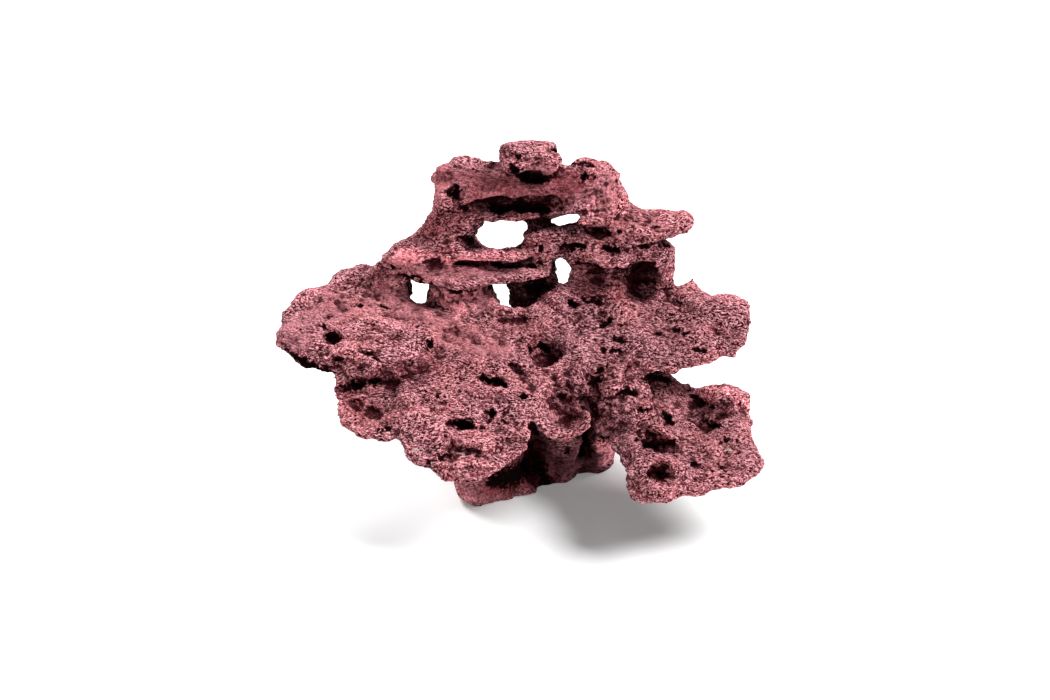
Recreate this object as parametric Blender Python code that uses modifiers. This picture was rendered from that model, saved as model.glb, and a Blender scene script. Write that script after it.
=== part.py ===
"""Dry reef rock: a shelf rock of fused reef plates, standing on a broken foot.

One solid. Three tiers of thin plates hang round a central trunk, and an arch with a knob tops them.
Lengths are in millimetres in the tables below and in metres in the model.
While it is built, x runs to the right, y to the back and z up from the ground under the foot. At the
end the rock is moved so that the origin is at the bottom centre of its bounding box.
"""

import math

import bmesh
import bpy
from mathutils import Euler, Matrix, Vector, noise

MM = 0.001

# Driving sizes of the rock, in millimetres
PLATE = 15.0  # thickness of a shelf near its root
RIM = 7.5  # thickness of a shelf along its free edge
RIM_REACH = 26.0  # how far in from the edge a shelf takes to reach its full thickness
EDGE_DROP = 2.2  # how far a shelf's top rolls down at its edge
EDGE_ROLL = 7.0  # the width of that roll
FUSE_GRAIN = 3.0  # size of the grid on which the pieces grow together
PLATE_GRAIN = 4.0  # spacing of the points on a single plate
TRIANGLES = 9700  # faces left on the finished solid

# The two large lower shelves slope down towards the front. A slope is a rise per unit of length.
LEFT_SHELF = {
    "height": 117.0,
    "slope": (0.0, 0.40),
    "bumps": [
        (-112, -44, 44, -10), (-131, 4, 13, 6), (-118, 74, 28, 4), (-168, 40, 28, 2),
        (-43, 42, 23, 6), (-92, 14, 34, -2), (-44, -92, 26, -3), (-28, -34, 30, 3),
        (-10, 44, 20, 7),
    ],
    "outline": [
        (-143, 73), (-134, 75), (-124, 76), (-114, 79), (-102, 75), (-91, 72), (-84, 63), (-81, 53),
        (-81, 45), (-75, 39), (-67, 44), (-58, 52), (-44, 52), (-28, 47), (-19, 41), (-8, 40),
        (8, 43), (26, 47), (40, 42), (44, 20), (40, 0), (28, -18), (14, -40), (6, -54),
        (6, -62), (9, -71), (8, -80), (1, -85), (-6, -89), (-9, -94), (-17, -97), (-27, -103),
        (-37, -105), (-43, -106), (-51, -103), (-57, -97), (-61, -93), (-70, -94), (-79, -88), (-85, -82),
        (-84, -75), (-90, -71), (-105, -68), (-111, -62), (-121, -59), (-130, -50), (-137, -41), (-137, -33),
        (-141, -26), (-141, -20), (-148, -17), (-157, -12), (-169, 0), (-176, 8), (-182, 13), (-182, 20),
        (-179, 25), (-183, 32), (-179, 41), (-174, 48), (-164, 52), (-154, 57), (-145, 57), (-146, 67),
    ],
}
RIGHT_SHELF = {
    "height": 114.5,
    "slope": (0.0, 0.34),
    "bumps": [(60, 10, 34, 3), (128, 60, 26, 1.5), (152, 48, 32, 2.5), (150, 16, 22, -2)],
    "outline": [
        (10, 20), (22, 38), (40, 38), (57, 44), (79, 51), (91, 56), (104, 63), (112, 68),
        (124, 73), (131, 76), (137, 72), (141, 64), (147, 58), (154, 58), (158, 62), (164, 62),
        (166, 55), (173, 52), (173, 40), (175, 30), (175, 20), (172, 11), (168, 8), (162, -3),
        (157, -5), (149, -2), (144, -5), (131, -9), (121, -12), (109, -14), (95, -19), (89, -16),
        (80, -14), (60, -14), (35, -14), (14, -4),
    ],
}
LOW_RIGHT_SHELF = {
    "height": 79.0,
    "slope": (0.0, 0.27),
    "bumps": [
        (94, -78, 26, 9), (82, -53, 18, 7), (106, -47, 14, -8), (150, -2, 24, 3),
        (132, -22, 30, -4), (160, -66, 30, -3), (108, -4, 22, 3),
    ],
    "outline": [
        (45, 20), (70, 28), (91, 31), (107, 28), (114, 24), (120, 19), (127, 17), (132, 12), (138, 9),
        (147, 9), (154, 7), (159, 3), (163, -3), (168, -11), (171, -17), (170, -28), (172, -38),
        (177, -48), (179, -60), (175, -67), (168, -72), (162, -75), (158, -86), (150, -92), (139, -90),
        (130, -91), (117, -92), (115, -98), (106, -102), (98, -101), (92, -98), (83, -98), (76, -93),
        (74, -85), (75, -66), (72, -52), (66, -40), (52, -28),
    ],
}
SCOOP = {
    "height": 116.5,
    "slope": (0.0, 0.56),
    "lip": 3.5,
    "bumps": [(30, -40, 25, -14)],
    "outline": [
        (0, 0), (3, -30), (7, -47), (12, -51), (16, -56), (23, -61), (32, -63), (42, -62),
        (49, -59), (54, -55), (54, -47), (53, -40), (49, -35), (50, -26), (47, -16), (50, 0), (28, 10),
    ],
}
LEFT_LAYER = {
    "height": 123.0,
    "slope": (0.0, 0.39),
    "outline": [
        (-140, 62), (-124, 68), (-104, 64), (-88, 56), (-70, 36), (-56, 20), (-62, -4), (-84, -20),
        (-106, -26), (-124, -24), (-138, -12), (-152, -6), (-166, 2), (-176, 16), (-176, 34), (-160, 46),
    ],
}
BACK_SHELF = {
    "height": 93.0,
    "slope": (0.0, -0.06),
    "outline": [
        (-50, 40), (-74, 52), (-88, 70), (-98, 80), (-96, 96), (-82, 100), (-70, 108), (-52, 106),
        (-40, 112), (-22, 116), (-4, 110), (14, 108), (34, 114), (54, 118), (70, 110), (84, 106),
        (98, 94), (96, 78), (84, 66), (64, 52), (50, 40),
    ],
}
MID_LEFT_LOWER = {
    "height": 157.0,
    "slope": (0.0, 0.02),
    "rim": 6.0,
    "thickness": 9.0,
    "outline": [
        (-118, 60), (-116, 52), (-100, 47), (-90, 48), (-82, 43), (-73, 34), (-64, 31), (-55, 29),
        (-45, 25), (-36, 26), (-29, 31), (-19, 35), (-4, 38), (12, 41), (25, 45), (25, 80),
        (0, 86), (-40, 92), (-80, 90), (-98, 80), (-108, 72),
    ],
}
MID_LEFT_UPPER = {
    "height": 167.5,
    "slope": (0.0, 0.08),
    "rim": 5.0,
    "thickness": 9.0,
    "bumps": [(-94, 62, 22, 5)],
    "outline": [
        (-109, 47), (-104, 58), (-93, 68), (-84, 77), (-72, 87), (-56, 86), (-46, 77), (-39, 68),
        (-28, 66), (-16, 66), (-6, 68), (6, 70), (13, 58), (10, 45), (-1, 41), (-15, 43), (-35, 43),
        (-57, 44), (-65, 49), (-76, 48), (-84, 41), (-94, 39),
    ],
}
MID_RIGHT_LOWER = {
    "height": 161.0,
    "slope": (0.0, 0.15),
    "rim": 6.0,
    "thickness": 11.0,
    "outline": [
        (32, 70), (36, 58), (42, 54), (48, 50), (58, 46), (65, 43), (74, 42), (80, 44),
        (86, 50), (94, 54), (104, 62), (108, 74), (98, 90), (60, 96), (40, 90),
    ],
}
MID_RIGHT_MIDDLE = {
    "height": 171.0,
    "slope": (0.0, 0.15),
    "rim": 6.0,
    "thickness": 11.0,
    "outline": [
        (5, 80), (4, 64), (9, 57), (20, 57), (41, 56), (49, 53), (59, 55), (66, 53),
        (81, 53), (92, 53), (101, 55), (105, 62), (104, 76), (96, 92), (62, 98), (28, 94),
    ],
}
MID_RIGHT_UPPER = {
    "height": 178.5,
    "slope": (0.0, 0.15),
    "outline": [
        (42, 80), (46, 67), (55, 63), (66, 60), (78, 56), (94, 53), (104, 50), (111, 50),
        (113, 56), (119, 61), (128, 65), (132, 70), (133, 75), (130, 80), (124, 87), (116, 90),
        (101, 91), (93, 91), (84, 94), (62, 100), (46, 96),
    ],
}
ARCH_LIP = {
    "height": 191.0,
    "slope": (0.06, 0.15),
    "rim": 6.5,
    "thickness": 9.0,
    "outline": [
        (-36, 90), (-34, 64), (-26, 57), (-12, 55), (4, 56), (16, 59), (22, 66), (22, 90), (0, 92),
    ],
}
ARCH_TOP = {
    "height": 211.5,
    "slope": (0.0, 0.25),
    "rim": 13.0,
    "thickness": 20.0,
    "bumps": [(7, 60, 24, 2)],
    "outline": [
        (-65, 61), (-61, 71), (-54, 80), (-47, 86), (-31, 90), (-17, 88), (0, 92), (20, 92),
        (30, 82), (37, 84), (46, 87), (58, 87), (65, 83), (71, 75), (73, 66), (66, 60),
        (50, 58), (35, 56), (18, 52), (0, 51), (-20, 51), (-40, 50), (-54, 50), (-63, 53),
    ],
}

# Rounded lumps and blunt blocks: centre, full size and turn about x, y and z in degrees
FOOT_LUMPS = [
    {"centre": (-22, 2, 26), "size": (62, 66, 78), "turn": (0, -12, 8)},
    {"centre": (24, 26, 48), "size": (60, 72, 120), "turn": (0, 6, -8)},
    {"centre": (38, 14, 26), "size": (28, 44, 90), "turn": (4, 4, 0)},
    {"centre": (60, 28, 30), "size": (26, 48, 86), "turn": (0, -4, 0)},
    {"centre": (-14, 44, 50), "size": (60, 48, 124), "turn": (-8, 0, 0)},
    {"centre": (34, 66, 26), "size": (58, 44, 80), "turn": (0, 0, 10)},
    {"centre": (-22, 64, 22), "size": (50, 40, 74), "turn": (0, 0, -10)},
    {"centre": (52, 2, 84), "size": (56, 46, 44), "turn": (0, 10, 0)},
    {"centre": (78, 6, 98), "size": (46, 38, 36), "turn": (-20, 0, 0)},
    {"centre": (72, -12, 88), "size": (50, 32, 36), "turn": (0, 10, 0)},
    {"centre": (83, -26, 76), "size": (36, 30, 22), "turn": (0, 0, 0)},
    {"centre": (97, -83, 58), "size": (45, 38, 31), "turn": (0, 0, 0)},
    {"centre": (6, 10, 96), "size": (64, 56, 40), "turn": (8, 0, 0)},
]
FOOT_BLOCKS = [
    {"centre": (-17, -10, 8), "size": (60, 36, 36), "turn": (0, 6, 18)},
    {"centre": (14, 11, 12), "size": (56, 36, 44), "turn": (0, 0, 14)},
    {"centre": (53, 28, 12), "size": (34, 38, 44), "turn": (0, 0, 8)},
]
PILLAR_LUMPS = [
    {"centre": (-45, 56, 138), "size": (46, 38, 56), "turn": (0, 0, 0)},
    {"centre": (-44, 48, 127), "size": (56, 36, 22), "turn": (16, 0, 0)},
    {"centre": (-40, 68, 160), "size": (54, 34, 20), "turn": (4, 0, 0)},
    {"centre": (10, 78, 132), "size": (38, 26, 74), "turn": (0, 0, 0)},
    {"centre": (28, 52, 129), "size": (28, 30, 20), "turn": (0, 0, 0)},
    {"centre": (102, 66, 151), "size": (34, 40, 50), "turn": (0, 8, 0)},
    {"centre": (60, 54, 130), "size": (66, 46, 28), "turn": (14, 0, 0)},
    {"centre": (-44, 88, 128), "size": (38, 46, 96), "turn": (0, 0, 0)},
    {"centre": (8, 88, 118), "size": (32, 48, 62), "turn": (0, 0, 0)},
    {"centre": (34, 92, 102), "size": (34, 38, 28), "turn": (0, 0, 0)},
    {"centre": (76, 90, 124), "size": (66, 46, 96), "turn": (0, 0, 0)},
    {"centre": (-78, 88, 92), "size": (36, 32, 16), "turn": (0, 0, 0)},
    {"centre": (-98, 58, 146), "size": (30, 26, 18), "turn": (0, 0, 0)},
    {"centre": (-92, 58, 162), "size": (40, 30, 12), "turn": (0, 0, 0)},
    {"centre": (22, 62, 166), "size": (28, 22, 16), "turn": (0, 0, 0)},
]
PILLAR_BLOCKS = [
    {"centre": (57, 72, 148), "size": (43, 30, 48), "turn": (0, 0, 0)},
    {"centre": (88, 75, 146), "size": (44, 32, 46), "turn": (0, 0, 0)},
    {"centre": (20, 62, 178), "size": (32, 16, 17), "turn": (0, 0, 0)},
    {"centre": (8, 69, 240.5), "size": (43, 36, 20), "turn": (-8, 4, 0)},
]
ARCH_LUMPS = [
    {"centre": (-54, 76, 177), "size": (42, 28, 38), "turn": (0, -26, 0)},
    {"centre": (-47, 72, 194), "size": (31, 36, 44), "turn": (0, -14, 0)},
    {"centre": (-47, 84, 206), "size": (35, 34, 44), "turn": (0, 0, 0)},
    {"centre": (66, 82, 190), "size": (34, 28, 40), "turn": (0, 24, 0)},
    {"centre": (58, 78, 204), "size": (36, 32, 38), "turn": (0, 14, 0)},
    {"centre": (-46, 73, 222), "size": (43, 36, 31), "turn": (0, -8, 0)},
    {"centre": (54, 73, 222), "size": (38, 32, 29), "turn": (0, 12, 0)},
    {"centre": (-6, 84, 202), "size": (76, 24, 34), "turn": (0, 0, 0)},
    {"centre": (8, 74, 228), "size": (34, 30, 22), "turn": (0, 0, 0)},
    {"centre": (38, 80, 197), "size": (50, 28, 28), "turn": (0, 0, 0)},
    {"centre": (-51, 64, 192), "size": (34, 24, 54), "turn": (0, 22, 0)},
    {"centre": (54, 66, 201), "size": (44, 28, 28), "turn": (0, 0, 0)},
]
RIM_LUMPS = [
    {"centre": (-131, 0, 118), "size": (24, 14, 14), "turn": (20, 0, 20)},
    {"centre": (149, -6, 82), "size": (44, 20, 19), "turn": (0, 0, -26)},
    {"centre": (116, 71, 186.5), "size": (32, 30, 15), "turn": (0, 0, 0)},
]

# Hollows cut from the fused rock: centre, full size and turn
HOLLOWS = [
    {"centre": (91, 46, 147), "size": (29, 46, 36), "turn": (0, 0, 0)},
    {"centre": (19, 0, 116), "size": (24, 28, 28), "turn": (0, 0, 0)},
    {"centre": (1, 50, 204), "size": (56, 34, 11), "turn": (8, 0, 0)},
    {"centre": (8, 51, 229.5), "size": (45, 34, 9.5), "turn": (0, 0, 0)},
    {"centre": (-47, 46, 214), "size": (11, 18, 13), "turn": (0, 0, 0)},
    {"centre": (-13, 41, 162), "size": (112, 32, 10), "turn": (0, 0, 0)},
    {"centre": (38, 72, 189.5), "size": (70, 150, 7.8), "turn": (-26, -17, 0)},
    {"centre": (47, 12, 24), "size": (8, 32, 110), "turn": (0, 3, 0)},
    {"centre": (12, -9, 24), "size": (26, 26, 42), "turn": (0, 0, 0)},
]
PITS = [
    {"centre": (-20, -27, 107), "size": (19, 10, 15), "turn": (0, 0, 0)},
    {"centre": (-44, -62, 91), "size": (18, 11, 15), "turn": (0, 0, 12)},
    {"centre": (-22, -51, 96), "size": (7, 9, 12), "turn": (0, 0, 0)},
    {"centre": (-69, 7, 119), "size": (8, 8, 10), "turn": (0, 0, 0)},
    {"centre": (-138, 8, 121), "size": (12, 11, 12), "turn": (0, 0, 0)},
    {"centre": (-121, -28, 104), "size": (10, 10, 12), "turn": (0, 0, 0)},
    {"centre": (-103, -26, 105), "size": (40, 8, 10), "turn": (0, 0, 6)},
    {"centre": (-120, 41, 133), "size": (11, 6, 9), "turn": (0, 0, 0)},
    {"centre": (-104, 40, 133), "size": (9, 6, 9), "turn": (0, 0, 0)},
    {"centre": (101, -90, 69), "size": (20, 18, 22), "turn": (0, 0, 0)},
    {"centre": (99, -50, 69), "size": (27, 19, 20), "turn": (0, 0, 0)},
    {"centre": (145, -25, 73), "size": (9, 8, 9), "turn": (0, 0, 0)},
    {"centre": (132, -8, 79), "size": (24, 8, 9), "turn": (0, 0, -28)},
    {"centre": (58, 60, 181), "size": (38, 16, 8), "turn": (0, 0, 0)},
    {"centre": (40, 53, 173), "size": (24, 16, 7), "turn": (0, 0, 0)},
    {"centre": (68, 50, 171), "size": (28, 16, 9), "turn": (0, 0, 0)},
    {"centre": (15, 57, 171), "size": (8, 10, 8), "turn": (0, 0, 0)},
]

PLATES = {
    "left_shelf": LEFT_SHELF,
    "left_layer": LEFT_LAYER,
    "right_shelf": RIGHT_SHELF,
    "low_right_shelf": LOW_RIGHT_SHELF,
    "scoop": SCOOP,
    "back_shelf": BACK_SHELF,
    "mid_left_lower": MID_LEFT_LOWER,
    "mid_left_upper": MID_LEFT_UPPER,
    "mid_right_lower": MID_RIGHT_LOWER,
    "mid_right_middle": MID_RIGHT_MIDDLE,
    "mid_right_upper": MID_RIGHT_UPPER,
    "arch_lip": ARCH_LIP,
    "arch_top": ARCH_TOP,
}
LUMPS = FOOT_LUMPS + PILLAR_LUMPS + ARCH_LUMPS + RIM_LUMPS
BLOCKS = FOOT_BLOCKS + PILLAR_BLOCKS


def clear_scene():
    for obj in list(bpy.data.objects):
        bpy.data.objects.remove(obj)


def collection(name):
    made = bpy.data.collections.new(name)
    bpy.context.scene.collection.children.link(made)
    return made


def only(obj):
    """Makes obj the one selected and active object."""
    bpy.ops.object.select_all(action="DESELECT")
    obj.select_set(True)
    bpy.context.view_layer.objects.active = obj


def apply(obj, kind, **settings):
    """Adds one modifier to obj and applies it."""
    only(obj)
    modifier = obj.modifiers.new(kind.lower(), kind)
    for key, value in settings.items():
        setattr(modifier, key, value)
    bpy.ops.object.modifier_apply(modifier=modifier.name)


def smooth_step(value):
    value = max(0.0, min(1.0, value))
    return value * value * (3 - 2 * value)


def distance_to_edge(x, y, outline):
    """The distance in millimetres from a point to a closed outline."""
    nearest = math.inf
    for (ax, ay), (bx, by) in zip(outline, outline[1:] + outline[:1]):
        dx, dy = bx - ax, by - ay
        along = ((x - ax) * dx + (y - ay) * dy) / (dx * dx + dy * dy)
        along = max(0.0, min(1.0, along))
        nearest = min(nearest, math.hypot(x - ax - along * dx, y - ay - along * dy))
    return nearest


def flat_plate(name, outline):
    """A flat plate from its outline, as a closed mesh 10 mm thick about z = 0."""
    curve = bpy.data.curves.new(name, "CURVE")
    curve.dimensions = "2D"
    curve.fill_mode = "BOTH"
    curve.extrude = 5 * MM
    spline = curve.splines.new("POLY")
    spline.points.add(len(outline) - 1)
    for point, (x, y) in zip(spline.points, outline):
        point.co = (x * MM, y * MM, 0, 1)
    spline.use_cyclic_u = True
    drawn = bpy.data.objects.new(name, curve)
    bpy.context.scene.collection.objects.link(drawn)
    bpy.context.view_layer.update()
    graph = bpy.context.evaluated_depsgraph_get()
    mesh = bpy.data.meshes.new_from_object(drawn.evaluated_get(graph))
    bpy.data.objects.remove(drawn)
    plate = bpy.data.objects.new(name, mesh)
    bpy.context.scene.collection.objects.link(plate)
    apply(plate, "WELD", merge_threshold=0.0001)
    apply(plate, "REMESH", mode="VOXEL", voxel_size=PLATE_GRAIN * MM)
    return plate


def shelf(name, height, slope, outline, bumps=(), rim=RIM, thickness=PLATE, lip=-EDGE_DROP):
    """A reef plate: thin at its rim, thicker inside, its top on the given slope.

    A bump is a place, a radius and a rise, which is negative for a dip. The lip is how far the top
    turns up along its edge, negative where it rolls down.
    """
    plate = flat_plate(name, outline)
    for vertex in plate.data.vertices:
        x, y, z = vertex.co / MM
        inset = distance_to_edge(x, y, outline)
        depth = rim + (thickness - rim) * smooth_step(inset / RIM_REACH)
        top = height + slope[0] * x + slope[1] * y
        top += lip * (1 - smooth_step(inset / EDGE_ROLL))
        for bump_x, bump_y, radius, rise in bumps:
            top += rise * smooth_step(1 - math.hypot(x - bump_x, y - bump_y) / radius)
        below = 0.5 - z / 10
        vertex.co.z = (top - below * depth) * MM
    return plate


def place(obj, centre, size, turn):
    """Gives a unit primitive its size, turn and place, in its mesh."""
    angles = Euler([math.radians(a) for a in turn])
    matrix = Matrix.Translation(Vector(centre) * MM) @ angles.to_matrix().to_4x4()
    obj.data.transform(matrix @ Matrix.Diagonal((*(s * MM for s in size), 1)))


def lump(name, centre, size, turn):
    """A rounded lump of rock."""
    bpy.ops.mesh.primitive_ico_sphere_add(subdivisions=4, radius=0.5)
    made = bpy.context.object
    made.name = name
    place(made, centre, size, turn)
    return made


def block(name, centre, size, turn):
    """A blunt block of rock, its corners rounded off."""
    bpy.ops.mesh.primitive_cube_add(size=1)
    made = bpy.context.object
    made.name = name
    place(made, centre, size, turn)
    apply(made, "BEVEL", width=min(size) * 0.28 * MM, segments=3)
    apply(made, "REMESH", mode="VOXEL", voxel_size=PLATE_GRAIN * MM)
    return made


def fuse(pieces, name):
    """Joins overlapping pieces and grows them together into one skin."""
    only(pieces[0])
    for piece in pieces:
        piece.select_set(True)
    bpy.ops.object.join()
    rock = bpy.context.object
    rock.name = rock.data.name = name
    apply(rock, "REMESH", mode="VOXEL", voxel_size=FUSE_GRAIN * MM)
    return rock


def carve(rock, hollows, cutters):
    """Cuts the hollows out of the rock."""
    for i, values in enumerate(hollows):
        cutter = lump(f"hollow_{i}", **values)
        cutter.hide_render = True
        cutter.display_type = "WIRE"
        for owner in list(cutter.users_collection):
            owner.objects.unlink(cutter)
        cutters.objects.link(cutter)
        roughen(cutter.data, 16, 1.4, seed=11 + i)
    apply(rock, "BOOLEAN", operation="DIFFERENCE", operand_type="COLLECTION", collection=cutters)


def roughen(mesh, wavelength, amplitude, seed=0.0):
    """Moves each point along its normal by a smooth noise. Both lengths are in millimetres."""
    offset = Vector((seed * 7.3, seed * 3.1, seed * 5.7))
    moves = [
        v.normal * noise.fractal(v.co / (wavelength * MM) + offset, 1.0, 2.0, 3) * amplitude * MM
        for v in mesh.vertices
    ]
    for vertex, move in zip(mesh.vertices, moves):
        vertex.co += move


def weather(mesh):
    """Lumps all over, and thin ledges where the rock's side is steep."""
    moves = []
    for v in mesh.vertices:
        p = v.co / MM
        swell = noise.fractal(p / 30, 1.0, 2.0, 3) * 2.4
        crumbs = noise.noise(p / 11 + Vector((31, 7, 3))) * 1.6
        ledge = noise.noise(Vector((p.x / 45, p.y / 45, p.z / 9)))
        steep = 1 - min(1, abs(v.normal.z) * 1.3)
        moves.append(v.normal * (swell + crumbs + ledge * steep * 3.4) * MM)
    for vertex, move in zip(mesh.vertices, moves):
        vertex.co += move


def keep_largest_shell(obj):
    """Removes every loose crumb and every sealed inner skin."""
    shape = bmesh.new()
    shape.from_mesh(obj.data)
    unseen = set(shape.verts)
    shells = []
    while unseen:
        stack = [unseen.pop()]
        shell = list(stack)
        while stack:
            for edge in stack.pop().link_edges:
                for other in edge.verts:
                    if other in unseen:
                        unseen.remove(other)
                        stack.append(other)
                        shell.append(other)
        shells.append(shell)
    shells.sort(key=len)
    for shell in shells[:-1]:
        bmesh.ops.delete(shape, geom=shell, context="VERTS")
    shape.to_mesh(obj.data)
    shape.free()


def thin_out(obj, triangles):
    """Reduces the mesh to about this many triangles."""
    count = sum(len(face.vertices) - 2 for face in obj.data.polygons)
    apply(obj, "DECIMATE", ratio=min(1.0, triangles / count), use_collapse_triangulate=True)


def cut_flat(rock, cutters):
    """Cuts the foot off flat at ground level."""
    bpy.ops.mesh.primitive_cube_add(size=1)
    ground = bpy.context.object
    ground.name = "ground"
    ground.data.transform(Matrix.Translation((0, 0, -0.05)) @ Matrix.Diagonal((1, 1, 0.1, 1)))
    ground.hide_render = True
    ground.display_type = "WIRE"
    for owner in list(ground.users_collection):
        owner.objects.unlink(ground)
    cutters.objects.link(ground)
    apply(rock, "BOOLEAN", operation="DIFFERENCE", object=ground)


def centre_on_origin(rock):
    """Moves the rock so that the origin is at the bottom centre of its bounding box."""
    xs, ys, zs = zip(*(v.co for v in rock.data.vertices))
    shift = Vector((-(min(xs) + max(xs)) / 2, -(min(ys) + max(ys)) / 2, -min(zs)))
    rock.data.transform(Matrix.Translation(shift))
    return shift


def reef_material():
    material = bpy.data.materials.new("reef_rock")
    material.use_nodes = True
    shader = material.node_tree.nodes["Principled BSDF"]
    shader.inputs["Base Color"].default_value = (0.30, 0.105, 0.125, 1)
    shader.inputs["Roughness"].default_value = 0.92
    shader.inputs["Metallic"].default_value = 0.0
    return material


def main():
    clear_scene()
    rocks = collection("dry_reef_rock")
    cutters = collection("cutters")
    pieces = [shelf(name, **values) for name, values in PLATES.items()]
    pieces += [lump(f"lump_{i}", **values) for i, values in enumerate(LUMPS)]
    pieces += [block(f"block_{i}", **values) for i, values in enumerate(BLOCKS)]
    for i, piece in enumerate(pieces[len(PLATES):]):
        roughen(piece.data, 20, 3.0, seed=i)
    rock = fuse(pieces, "reef_rock")
    weather(rock.data)
    carve(rock, HOLLOWS + PITS, cutters)
    apply(rock, "REMESH", mode="VOXEL", voxel_size=FUSE_GRAIN * MM)
    keep_largest_shell(rock)
    thin_out(rock, TRIANGLES)
    cut_flat(rock, cutters)
    keep_largest_shell(rock)
    shift = centre_on_origin(rock)
    rock.data.materials.clear()
    rock.data.materials.append(reef_material())
    rock.data.shade_smooth()
    for owner in list(rock.users_collection):
        owner.objects.unlink(rock)
    rocks.objects.link(rock)
    return shift


if __name__ == "__main__":
    main()
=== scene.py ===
import math

import bpy
import numpy as np
from mathutils import Euler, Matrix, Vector, noise
from mathutils.bvhtree import BVHTree
from mathutils.kdtree import KDTree


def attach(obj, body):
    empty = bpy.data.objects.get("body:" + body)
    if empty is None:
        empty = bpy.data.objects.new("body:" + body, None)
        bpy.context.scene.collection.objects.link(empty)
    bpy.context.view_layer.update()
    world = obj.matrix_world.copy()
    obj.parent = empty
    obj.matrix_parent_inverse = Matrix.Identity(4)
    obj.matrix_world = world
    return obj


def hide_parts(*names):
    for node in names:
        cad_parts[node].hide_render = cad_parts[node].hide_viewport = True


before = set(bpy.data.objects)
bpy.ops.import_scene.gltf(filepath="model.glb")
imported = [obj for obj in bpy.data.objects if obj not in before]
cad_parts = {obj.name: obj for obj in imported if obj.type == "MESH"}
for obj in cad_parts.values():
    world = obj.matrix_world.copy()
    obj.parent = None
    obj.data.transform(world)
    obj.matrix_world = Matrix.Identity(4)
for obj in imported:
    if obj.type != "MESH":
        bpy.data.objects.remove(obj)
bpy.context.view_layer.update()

MM = 0.001

# The camera stands where the photograph was taken from
PHOTO_SIZE = (1050, 700)
LENS = 65.0
SENSOR = 36.0
FOCAL_PIXELS = LENS / SENSOR * PHOTO_SIZE[0]
ELEVATION = math.radians(30)
DISTANCE = 1.393
TARGET = Vector((0.0057, -0.0060, 0.1163))
FORWARD = Vector((0, math.cos(ELEVATION), -math.sin(ELEVATION)))
UPWARD = Vector((0, math.sin(ELEVATION), math.cos(ELEVATION)))
EYE = TARGET - DISTANCE * FORWARD

# Studio lights: height, bearing and breadth in degrees, and strength. Bearing 0 is behind the camera,
# and 90 at its right.
LAMPS = {
    "left": (38, -147, 28, 4.2),
    "right": (50, 90, 28, 4.1),
    "front": (18, 8, 40, 0.45),
}
WORLD_STRENGTH = 0.09

# The floor's width, its white, and how much of its shadow the paper's own white washes out for the camera
FLOOR_WIDTH = 60
FLOOR_WHITE = (0.92, 0.92, 0.92, 1)
FLOOR_GLOW = 0.16

# Grids that the rock is meshed on, coarse for its broad form and fine for its cuts
BASE_GRID = 1.5 * MM
FINE_GRID = 1.15 * MM
FACET_SMOOTHING = 5
WELD_REACH = 0.01 * MM
TRIANGLES = 195000

# The broken foot is smoother than the shelves: its share of their relief, and how far up it reaches
FOOT_RELIEF = 0.3
FOOT_HEIGHT = 55 * MM

# How far up a surface faces, where 1 is level: flats start here, sides end here, and both fade over the last
FLATS_FROM = 0.35
SIDES_TO = 0.75
SLOPE_FADE = 0.35

# How relief is stretched, and turned in degrees: even, in tilted layers, or drawn out along the rock's grain
EVEN = {"stretch": (1, 1, 1), "turn": (0, 0, 0)}
GRAIN_TURN = (0, 0, -24)
LAYERS = {"stretch": (3.0, 3.0, 0.7), "turn": (6, -4, 0)}
RIDGES = {"stretch": (2.2, 0.7, 1.0), "turn": GRAIN_TURN}
FOLDS = {"stretch": (1.8, 0.8, 0.9), "turn": GRAIN_TURN}
PORES = {"stretch": (2.0, 0.8, 0.9), "turn": GRAIN_TURN}

# Cuts go in this much along the camera's view, and the rest straight into the surface
VIEW_LEAN = 0.55

# The most of the rock's thickness that a cut may take, and the share of its width that its wall takes up
DEEPEST_CUT = 0.55
WALL_WIDTH = 0.5

# How far past its outline a ridge or cut still shows, and a patch of colour, in shares of its half width
FORM_EDGE = 1.25
PATCH_EDGE = 1.4

# The noise that bends the outlines of strokes is drawn from this seed, so that each run gives the same rock
NOISE_SEED = 1796095526

# A pit is drawn out along the rock's grain: its ends seen from its middle, in photo pixels for each
# millimetre of its half width, and how much narrower that makes it
PIT_START = (-1.5, -0.5)
PIT_END = (1.5, 0.4)
PIT_NARROWING = 0.72

# Creases and hollows: rounds of smoothing that they are measured against, and the depth that counts as full
CREASES = (6, 1.2 * MM)
HOLLOWS = (80, 7 * MM)

# How finely the open sky above each point is measured
SKY_TRIANGLES = 24000
SKY_RAYS = 28
LOWEST_RAY = 0.05  # rise of the lowest ray, where 1 is straight up
SKY_NEIGHBOURS = 4

# Colours of the crust, and of the painted shade in its creases, hollows, sheltered places and pits
SALMON = (0.395, 0.106, 0.120, 1)
MAUVE = (0.265, 0.073, 0.093, 1)
CREST = (0.76, 0.37, 0.40, 1)
MAROON = (0.036, 0.003, 0.005, 1)
PAINTED_SHADE_MAROON = (0.014, 0.001, 0.0015, 1)
BLACK = (0.004, 0.001, 0.001, 1)
PALE = (0.86, 0.74, 0.70, 1)

# What the crust's colour is multiplied by where the patches paint light, where they paint shade, and on
# raised places for a painted highlight
PAINTED_LIGHT_GAIN = (2.3, 2.1, 2.1, 1)
PAINTED_SHADE_GAIN = (0.58, 0.42, 0.43, 1)
RAISED_HIGHLIGHT = (1.2, 1.2, 1.2, 1)

# Grain patterns of the crust on level tops and on sides: stretch, turn in degrees and grains in a metre
TOP_GRAIN = ((0.5, 1.0, 1.0), (0, 0, 38), 1080.0)
SIDE_GRAIN = ((0.7, 0.7, 1.2), (6, -4, 0), 820.0)
BUMP_HEIGHT = 2.4 * MM

# Noise in the finish, in swells in a metre: what bends the grain, gathers the gaps, parts the two colours
# and breaks up the rims of pits
BENDS = 40.0
CLUSTERS = 70.0
PATCHES = 22.0
RIM_BREAKS = 420.0

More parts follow.
